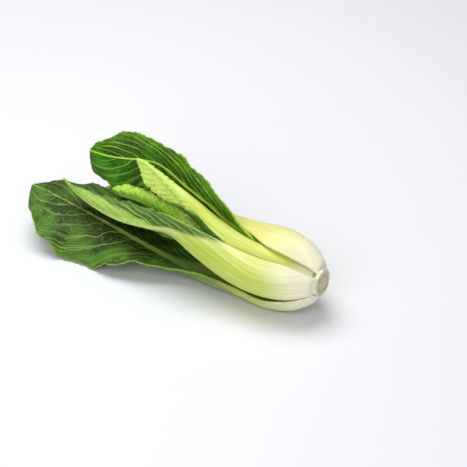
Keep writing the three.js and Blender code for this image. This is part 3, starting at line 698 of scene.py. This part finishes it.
class Finish:
    """A node material under construction."""

    def __init__(self, name):
        self.material = bpy.data.materials.new(name)
        self.material.use_nodes = True
        self.tree = self.material.node_tree
        self.tree.nodes.clear()
        output = self.tree.nodes.new("ShaderNodeOutputMaterial")
        self.shader = self.tree.nodes.new("ShaderNodeBsdfPrincipled")
        self.tree.links.new(self.shader.outputs[0], output.inputs["Surface"])

    def put(self, socket, value):
        if isinstance(value, bpy.types.NodeSocket):
            self.tree.links.new(value, socket)
            return
        if hasattr(value, "__len__"):
            value = (*value, 1)[:len(socket.default_value)]
        socket.default_value = value

    def add(self, kind, inputs, **settings):
        node = self.tree.nodes.new("ShaderNode" + kind)
        for key, value in settings.items():
            setattr(node, key, value)
        for key, value in inputs.items():
            self.put(node.inputs[key], value)
        return node

    def number(self, operation, a, b=0.0, c=0.0):
        return self.add("Math", {0: a, 1: b, 2: c}, operation=operation).outputs[0]

    def vector(self, operation, a, b):
        return self.add("VectorMath", {0: a, 1: b}, operation=operation).outputs[0]

    def band(self, value, low, high, start=0.0, end=1.0):
        inputs = {0: value, 1: low, 2: high, 3: start, 4: end}
        return self.add("MapRange", inputs, interpolation_type="SMOOTHSTEP").outputs[0]

    def ramp(self, name, value, *ends):
        return self.band(value, *RAMPS[name], *ends)

    def blend(self, share, a, b, kind="MIX"):
        node = self.add("Mix", {0: share}, data_type="RGBA", blend_type=kind)
        self.put(node.inputs[6], a)
        self.put(node.inputs[7], b)
        return node.outputs[2]

    def map(self, name):
        return self.add("UVMap", {}, uv_map=name).outputs[0]

    def split(self, vector):
        return self.add("SeparateXYZ", {0: vector}).outputs

    def join(self, x, y):
        return self.add("CombineXYZ", {0: x, 1: y}).outputs[0]

    def noise(self, name, vector):
        x, y, scale, detail, roughness = NOISES[name]
        vector = self.vector("MULTIPLY", vector, (x, y, 1))
        inputs = {"Vector": vector, "Scale": scale, "Detail": detail, "Roughness": roughness}
        return self.add("TexNoise", inputs).outputs[0]

    def cracks(self, vector, scale):
        inputs = {"Vector": vector, "Scale": scale}
        settings = {"feature": "DISTANCE_TO_EDGE", "voronoi_dimensions": "2D"}
        return self.add("TexVoronoi", inputs, **settings).outputs["Distance"]

    def complete(self, skin, rough, height, distance, weight, radius):
        """Join up the shader, whose light goes a little way into the flesh."""
        bump = self.add("Bump", {"Strength": 1.0, "Distance": distance, "Height": height})
        for name, value in {
            "Base Color": skin, "Roughness": rough, "Normal": bump.outputs[0],
            "Subsurface Weight": weight, "Subsurface Radius": radius,
            "Subsurface Scale": SUBSURFACE_SCALE,
        }.items():
            self.put(self.shader.inputs[name], value)


for title, operation in SUMS.items():
    setattr(Finish, title, partialmethod(Finish.number, operation))

VEIN_WIDTHS = (0.5, 0.3)  # half of them, at the midrib and at the margin
HALO_SHARE = 0.25
NETS = ((2.1, 0.07, 0.5), (5.2, 0.1, 0.22))  # scale, width and share of each
# The first darkens the upper face into painted shade. The second gives the darker patches of the
# under side, and the third darkens those further into painted shade along the keel. The fourth
# gives the darker strands of a stalk.
UPPER_SHADE_DEPTH, DEEP_UNDER, KEEL_SHADE_DEPTH, DEEP_STRANDS = 0.3, 0.6, 0.35, 0.80
CLOUD_SHIFT = 1.0  # how far the clouds move the edge of a pale part
WHITE_START = 0.6
NECK_RISE = (0.45, 1.05)  # where the green of the neck begins and is full along the stalk
STRAND_START, STRAND_SHARES = 1.5, (0.16, 0.55)
GREEN_START, GREEN_SHARES, GREEN_WANDER = 2, (0.1, 0.75), 0.5
MOTTLE_DEPTH, MOTTLE_SHARES = (0.6, 0.66, 0.5), (0.2, 0.03)  # shares by which the blade has more
GLOSS = {"upper": 0.14, "under": 0.24}
ROUGHNESS = 0.33
GRAIN_SHARES = (0.45, 0.05)
STRAND_HEIGHT = 0.9
PLEAT_SPACING, PLEAT_SWING, PLEAT_SHARES = 0.26, 9.0, (0.7, 0.3)
LEAF_BUMP, LEAF_FLESH = 0.00022, (0.12, (0.004, 0.006, 0.002))


def darker(share, skin):
    return [share * part for part in skin]


def vein_masks(f, sheet, aside, across, phase, lengths):
    """Veins that fork towards the margin, with a net between them, and the halo round them."""
    leaf = sheet.leaf
    spacing = (1 - sheet.neck) * sheet.length / leaf.veins
    place = f.plus(phase, f.times(f.number("GREATER_THAN", across, 0), 0.5))
    off = f.size(f.minus(f.fraction(place), 0.5))
    off_mm = f.times(off, spacing)
    width = f.band(aside, 0, 1, *(share * leaf.vein_width for share in VEIN_WIDTHS))
    # distances are taken along the midrib, and so they are longer where the veins lean
    lean = math.hypot(1, leaf.sweep * (1 - sheet.neck) * sheet.length / sheet.widest)
    width = f.times(width, f.ramp("lean", aside, lean))
    lateral = f.ramp("vein", f.over(off_mm, width))
    fork_off = f.times(f.size(f.minus(off, f.ramp("fork spread", aside))), spacing)
    fork = f.ramp("fork", f.over(fork_off, width))
    fork = f.times(fork, f.ramp("fork start", aside))
    net = f.join(f.times(phase, spacing / 10), f.split(lengths)[1])
    net = f.vector("ADD", net, f.noise("warp", lengths))
    coarse, fine = (
        f.times(f.band(f.cracks(net, scale), 0, width, 1, 0), share)
        for scale, width, share in NETS
    )
    strength = f.add("TexWhiteNoise", {"W": f.number("FLOOR", place)}, noise_dimensions="1D")
    strength = f.ramp("vein strength", strength.outputs["Value"])
    main = f.times(f.largest(lateral, fork), strength)
    return f.largest(main, f.largest(coarse, fine)), f.ramp("halo", off_mm)


def stalk_colour(f, sheet, look, white, aside, walked, lengths, strands):
    """Colour of the stalk, white at its base and green at its neck."""
    leaf = sheet.leaf
    neck_cm = sheet.neck * sheet.length / 10
    base = f.band(walked, WHITE_START, neck_cm * leaf.white)
    stalk = f.blend(base, white, look.stalk)
    neck = f.band(walked, *(neck_cm * share for share in NECK_RISE))
    stalk = f.blend(neck, stalk, look.neck)
    # flush and pallor are the stalk's own tones; belly greens its keel, partly as painted shade
    for name, share, skin in (
        ("flush", f.ramp("flush", f.noise("flush", lengths)), look.neck),
        ("belly", f.ramp("belly", aside, leaf.belly, 0), look.neck),
        ("pallor", f.ramp("pallor", f.noise("pallor", lengths), leaf.pallor), white),
    ):
        stalk = f.blend(f.times(share, f.ramp(name + " start", walked)), stalk, skin)
    share = f.ramp("strands", strands)
    share = f.times(share, f.band(walked, STRAND_START, neck_cm, *STRAND_SHARES))
    stalk = f.blend(share, stalk, darker(DEEP_STRANDS, look.neck))
    green = f.times_plus(strands, GREEN_WANDER, f.minus(aside, GREEN_WANDER / 2))
    green = f.ramp("green edge", green)
    green = f.times(green, f.band(walked, GREEN_START, neck_cm, *GREEN_SHARES))
    green = f.times(green, abs(leaf.edge))
    # green margins, or where edge is below 0 a pale painted highlight along them
    return f.blend(green, stalk, look.neck if leaf.edge > 0 else white)


def leaf_finish(sheet, look, settings, face):
    """Finish of one face of a leaf: stalk, midrib, blade and the net of veins."""
    leaf = sheet.leaf
    upper = face == "upper"
    f = Finish(f"{leaf.name}_{face}")
    up_blade, across, _ = f.split(f.map("place"))
    lengths = f.map("lengths")
    walked = f.split(lengths)[0]
    phase, rib, _ = f.split(f.map("veins"))
    aside = f.size(across)
    clouds, mottle, strands = (f.noise(name, lengths) for name in ("clouds", "mottle", "strands"))
    veins, halo = vein_masks(f, sheet, aside, across, phase, lengths)

    drift = f.ramp("drift", clouds)
    if upper:
        deep = darker(UPPER_SHADE_DEPTH, look.upper)
        blade = f.blend(drift, look.upper, look.patches)
        blade = f.blend(f.times(halo, HALO_SHARE), blade, look.patches)
        # painted shade beside the midrib, fading out before the tip
        shaded = f.times(f.ramp("shade", aside, leaf.shade, 0), f.ramp("shade end", up_blade))
        blade = f.blend(shaded, blade, deep)
    else:
        deep = darker(DEEP_UNDER, look.under)
        # pale parts: partly the under side's own tone, partly painted light where it faces the
        # light
        start, along, over, border = leaf.pale
        reach = f.times_plus(aside, over, f.times_plus(up_blade, along, start))
        reach = f.times_plus(clouds, CLOUD_SHIFT, f.minus(reach, CLOUD_SHIFT / 2))
        pale = f.band(reach, -border, border)
        blade = f.blend(pale, f.blend(drift, look.under, deep), look.pale)
    shown = f.times(veins, leaf.vein_show)
    if leaf.quiet:
        shown = f.times(shown, f.ramp("quiet", across, 1 - leaf.quiet, 1))
    if leaf.flank and not upper:
        shown = f.times(shown, f.ramp("veins on dark", pale))
    blade = f.blend(shown, blade, look.veins)
    # a pale line along the margin: its own edge vein, and a painted highlight on the thin edge
    blade = f.blend(f.ramp("margin line", aside), blade, look.veins)
    # painted shade over the high half of the blade
    if upper and leaf.far:
        blade = f.blend(f.ramp("far", across, leaf.far), blade, deep)

    white = settings.base_white
    stalk = stalk_colour(f, sheet, look, white, aside, walked, lengths, strands)
    stalk = f.blend(f.ramp("stalk end", up_blade), stalk, look.veins)
    if leaf.flank:
        start, along = leaf.flank
        reach = f.times_plus(up_blade, along, f.plus(across, start))
        flank = f.times(f.ramp("flank", reach), f.ramp("flank start", up_blade))
        rib = f.times(rib, f.minus(1.0, flank))
    fleshy = f.minus(1.0, rib)
    skin = f.blend(rib, blade, stalk)
    # painted shade along the keel of the under side, as if in the gap below it
    if leaf.keel and not upper:
        keel = f.times(f.ramp("keel", aside), f.ramp("keel start", up_blade))
        skin = f.blend(f.times(keel, leaf.keel), skin, darker(KEEL_SHADE_DEPTH, deep))
    mottled = f.blend(1.0, skin, MOTTLE_DEPTH, "MULTIPLY")
    mottled = f.blend(f.ramp("mottle", mottle), mottled, skin)
    skin = f.blend(f.times_plus(fleshy, *MOTTLE_SHARES), skin, mottled)
    rough = f.times_plus(fleshy, f.ramp("rough blade", mottle), ROUGHNESS)
    f.shader.inputs["Specular IOR Level"].default_value = GLOSS[face]

    height = f.times(f.times(veins, fleshy), -1.0 if upper else 1.0)
    height = f.plus(height, f.times(mottle, f.times_plus(fleshy, *GRAIN_SHARES)))
    height = f.plus(height, f.times(f.times(strands, rib), STRAND_HEIGHT))
    if leaf.pleats and not upper:
        swing = f.times(f.noise("pleats", lengths), PLEAT_SWING)
        turned = f.times_plus(walked, math.tau / PLEAT_SPACING, swing)
        pleat = f.times(f.number("SINE", turned), leaf.pleats)
        pleated = f.largest(f.minus(f.times_plus(pale, *PLEAT_SHARES), rib), 0.0)
        height = f.times_plus(pleat, pleated, height)
    f.complete(skin, rough, height, LEAF_BUMP, *LEAF_FLESH)
    return f.material


def build_leaves(settings, whorl):
    for seed, leaf in enumerate(LEAVES):
        if leaf.whorl != whorl:
            continue
        sheet = Sheet(leaf)
        name = leaf.name + "_dressed"
        mesh = leaf_mesh(name, sheet, settings, 100 * (seed + 1))
        look = settings.leaves[leaf.name]
        for face in ("upper", "under"):
            mesh.materials.append(leaf_finish(sheet, look, settings, face))
        add_piece(name, mesh, leaf.name)


# ---- butt
BUTT_PROFILE = [
    (0.0, 0.35), (1.5, 0.3), (3.0, 0.2), (4.6, 0.1), (6.2, 0.05), (7.8, 0.05), (8.8, 0.15),
    (9.3, 0.4), (9.6, 0.9), (9.7, 1.6), (9.4, 2.6), (8.2, 3.4), (7.3, 4.6), (6.4, 6.5), (5.0, 9.0),
    (3.4, 11.5), (2.0, 13.2), (1.2, 14.6), (0.0, 14.6),
]
BUTT_FINENESS = 4  # rings for each step of the profile
BUTT_LOBES, BUTT_LOBE_DEPTH, BUTT_LOBE_TURN = 4, 0.022, 0.5
LUMPS, LUMP_DEPTH, LUMP_SEED = 3, 0.012, 41
CUT_WAVE, CUT_DEPTH, CUT_SEED = 2.2, 0.14, 42
SAW_SPACING, SAW_DEPTH = 1.7, 0.10
CUT_EDGE = (0.2, 1.5)


def butt_mesh(settings):
    segments = settings.butt_segments
    steps = np.arange(len(BUTT_PROFILE))
    fine = np.linspace(0, steps[-1], steps[-1] * BUTT_FINENESS + 1)
    radius, along = (np.interp(fine, steps, column)[:, None] for column in zip(*BUTT_PROFILE))
    around = np.linspace(0, math.tau, segments, endpoint=False)[None, :]
    lobes = BUTT_LOBE_DEPTH * np.cos(BUTT_LOBES * around + BUTT_LOBE_TURN)
    lumps = wobble(LUMPS * np.cos(around), LUMPS * np.sin(around), LUMP_SEED)
    reach = radius * (1 + (lobes + LUMP_DEPTH * lumps))
    y, z = reach * np.cos(around), reach * np.sin(around)
    rough = CUT_DEPTH * wobble(y / CUT_WAVE, z / CUT_WAVE, CUT_SEED)
    rough += SAW_DEPTH * np.cos(math.tau * y / SAW_SPACING)
    face = smooth(PLATE_THICKNESS - along, *CUT_EDGE)
    x = -(along + face * rough * smooth(radius, 0, 1))
    points = np.stack([x, y, z + AXIS_HEIGHT], axis=-1)
    faces = ring_quads(len(fine), segments)[:, (0, 3, 2, 1)].tolist()
    mesh = placed_mesh("butt_dressed", points, faces)
    mesh.validate()
    return mesh


RING_RADIUS = 0.0058  # in metres
BASE_ARCS, ARC_TURN = 4, 140.0
FIBRES, FIBRE_SHARE = 900.0, 0.4
DRIED = (0.5, 0.4, 0.22)
BUTT_BUMP, BUTT_FLESH = 0.0004, (0.15, (0.005, 0.004, 0.002))


def butt_finish(settings):
    f = Finish("butt_cut")
    place = f.add("TexCoord", {}).outputs["Object"]
    _, y, z = f.split(place)
    y, z = f.minus(y, HEAD_Y * MM), f.minus(z, AXIS_HEIGHT * MM)
    radius = f.number("SQRT", f.plus(f.times(y, y), f.times(z, z)))
    ring = f.ramp("ring", f.size(f.minus(radius, RING_RADIUS)))
    # the cut leaf bases lie round the core as arcs, each of them ending under the next
    turned = f.number("ARCTAN2", z, y)
    turned = f.times_plus(turned, BASE_ARCS / (math.tau), f.times(radius, ARC_TURN))
    seam = f.size(f.minus(f.fraction(turned), 0.5))
    seam = f.times(f.ramp("seam", seam), f.ramp("seam start", radius))
    fibres = f.times(f.ramp("fibres", f.cracks(f.join(y, z), FIBRES)), FIBRE_SHARE)
    stain = f.noise("stain", place)
    marks = f.largest(f.largest(ring, seam), fibres)
    skin = f.blend(marks, settings.butt, settings.butt_fibres)
    skin = f.blend(f.ramp("dried", stain), skin, DRIED)
    skin = f.blend(f.ramp("rim", radius), skin, settings.base_white)
    rough = f.ramp("rough cut", stain)
    f.complete(skin, rough, f.plus(stain, fibres), BUTT_BUMP, *BUTT_FLESH)
    return f.material


# ---- stage
FLOOR_HALF = 4.0
FLOOR_ROUGHNESS = 0.6
SKY_COLOUR = (0.97, 0.98, 1.0, 1)
LIGHT_SIZE = 0.9
KEY_PLACE, FILL_PLACE, LIT_PLACE = (-0.3, 0.12, 1.1), (0.2, -1.05, 0.75), (0, 0, 0.03)
SENSOR_WIDTH = 36.0
LENS = 1769.0 / 467 * SENSOR_WIDTH
CLIP = (0.05, 20)
CAMERA_AZIMUTH = 32.1
CAMERA_ELEVATION = 31.4
CAMERA_FROM_BUTT = (481.36, -881.13, 678.72)  # from the cut face on the surface, in millimetres


def add_floor(settings):
    low, high = -FLOOR_HALF, FLOOR_HALF
    corners = [(low, low, 0), (high, low, 0), (high, high, 0), (low, high, 0)]
    mesh = bpy.data.meshes.new("floor")
    mesh.from_pydata(corners, [], [(0, 1, 2, 3)])
    f = Finish("floor_pale")
    f.put(f.shader.inputs["Base Color"], settings.floor)
    f.shader.inputs["Roughness"].default_value = FLOOR_ROUGHNESS
    mesh.materials.append(f.material)
    floor = add_object("floor", mesh)


def add_lights(settings):
    scene = bpy.context.scene
    scene.view_settings.view_transform = "Standard"
    scene.world = world = bpy.data.worlds.new("studio")
    world.use_nodes = True
    background = world.node_tree.nodes["Background"]
    background.inputs["Color"].default_value = SKY_COLOUR
    background.inputs["Strength"].default_value = settings.sky
    for name, place, power in (
        ("key_light", KEY_PLACE, settings.key_power),
        ("fill_light", FILL_PLACE, settings.fill_power),
    ):
        light = bpy.data.lights.new(name, "AREA")
        light.size = LIGHT_SIZE
        light.energy = power
        lamp = add_object(name, light)
        lamp.location = place
        lamp.rotation_mode = "QUATERNION"
        lamp.rotation_quaternion = (Vector(LIT_PLACE) - Vector(place)).to_track_quat("-Z", "Y")


def add_camera():
    lens = bpy.data.cameras.new("camera")
    lens.sensor_width, lens.lens = SENSOR_WIDTH, LENS
    lens.clip_start, lens.clip_end = CLIP
    camera = add_object("camera", lens)
    camera.location = (Vector(CAMERA_FROM_BUTT) + Vector((CUT_FACE_X, HEAD_Y, 0))) * MM
    tilt = math.radians(90 - CAMERA_ELEVATION)
    camera.rotation_euler = (tilt, 0, math.radians(CAMERA_AZIMUTH))
    bpy.context.scene.camera = camera


# ---- operators
class BOKCHOY_OT_butt(bpy.types.Operator):
    """Add the cut butt that the leaves grow from"""

    bl_idname = "bokchoy.butt"
    bl_label = "Cut butt"

    def execute(self, context):
        settings = context.scene.bok_choy
        mesh = butt_mesh(settings)
        mesh.materials.append(butt_finish(settings))
        add_piece("butt_dressed", mesh, "butt")
        return {"FINISHED"}


class BOKCHOY_OT_outer_leaves(bpy.types.Operator):
    """Add the four outer leaves with their swollen stalks"""

    bl_idname = "bokchoy.outer_leaves"
    bl_label = "Outer leaves"

    def execute(self, context):
        build_leaves(context.scene.bok_choy, "outer")
        return {"FINISHED"}


class BOKCHOY_OT_middle_leaves(bpy.types.Operator):
    """Add the four leaves of the middle whorl"""

    bl_idname = "bokchoy.middle_leaves"
    bl_label = "Middle leaves"

    def execute(self, context):
        build_leaves(context.scene.bok_choy, "middle")
        return {"FINISHED"}


class BOKCHOY_OT_heart_leaves(bpy.types.Operator):
    """Add the young leaves of the heart"""

    bl_idname = "bokchoy.heart_leaves"
    bl_label = "Heart leaves"

    def execute(self, context):
        build_leaves(context.scene.bok_choy, "inner")
        return {"FINISHED"}


class BOKCHOY_OT_stage(bpy.types.Operator):
    """Add the floor, the lights and the camera"""

    bl_idname = "bokchoy.stage"
    bl_label = "Stage"

    def execute(self, context):
        settings = context.scene.bok_choy
        add_floor(settings)
        add_lights(settings)
        add_camera()
        return {"FINISHED"}


OPERATORS = (
    BOKCHOY_OT_butt, BOKCHOY_OT_outer_leaves, BOKCHOY_OT_middle_leaves,
    BOKCHOY_OT_heart_leaves, BOKCHOY_OT_stage,
)


class BOKCHOY_PT_panel(bpy.types.Panel):
    """Lists the head's sizes, colours and pieces"""

    bl_idname = "BOKCHOY_PT_panel"
    bl_label = "Bok choy"
    bl_space_type = "VIEW_3D"
    bl_region_type = "UI"
    bl_category = "Bok Choy"

    def draw(self, context):
        settings = context.scene.bok_choy
        for name in settings.bl_rna.properties.keys():
            if name not in ("rna_type", "name", "leaves"):
                self.layout.prop(settings, name)
        for look in settings.leaves:
            box = self.layout.box()
            box.label(text=look.name)
            for part in COLOUR_PARTS:
                box.prop(look, part)
        for operator in OPERATORS:
            self.layout.operator(operator.bl_idname)


CLASSES = (BokChoyLeafLook, BokChoySettings, *OPERATORS, BOKCHOY_PT_panel)


def register():
    for cls in CLASSES:
        bpy.utils.register_class(cls)
    bpy.types.Scene.bok_choy = PointerProperty(type=BokChoySettings)


def unregister():
    del bpy.types.Scene.bok_choy
    for cls in reversed(CLASSES):
        bpy.utils.unregister_class(cls)


def fill_looks(settings):
    """One entry of colours for each leaf."""
    settings.leaves.clear()
    for leaf in LEAVES:
        look = settings.leaves.add()
        look.name = leaf.name
        for part, code in zip(COLOUR_PARTS, leaf.colours.split()):
            setattr(look, part, colour(code))


def main():
    register()
    fill_looks(bpy.context.scene.bok_choy)
    bpy.ops.bokchoy.butt()
    bpy.ops.bokchoy.outer_leaves()
    bpy.ops.bokchoy.middle_leaves()
    bpy.ops.bokchoy.heart_leaves()
    bpy.ops.bokchoy.stage()
    bpy.context.view_layer.update()


if __name__ == "__main__":
    main()
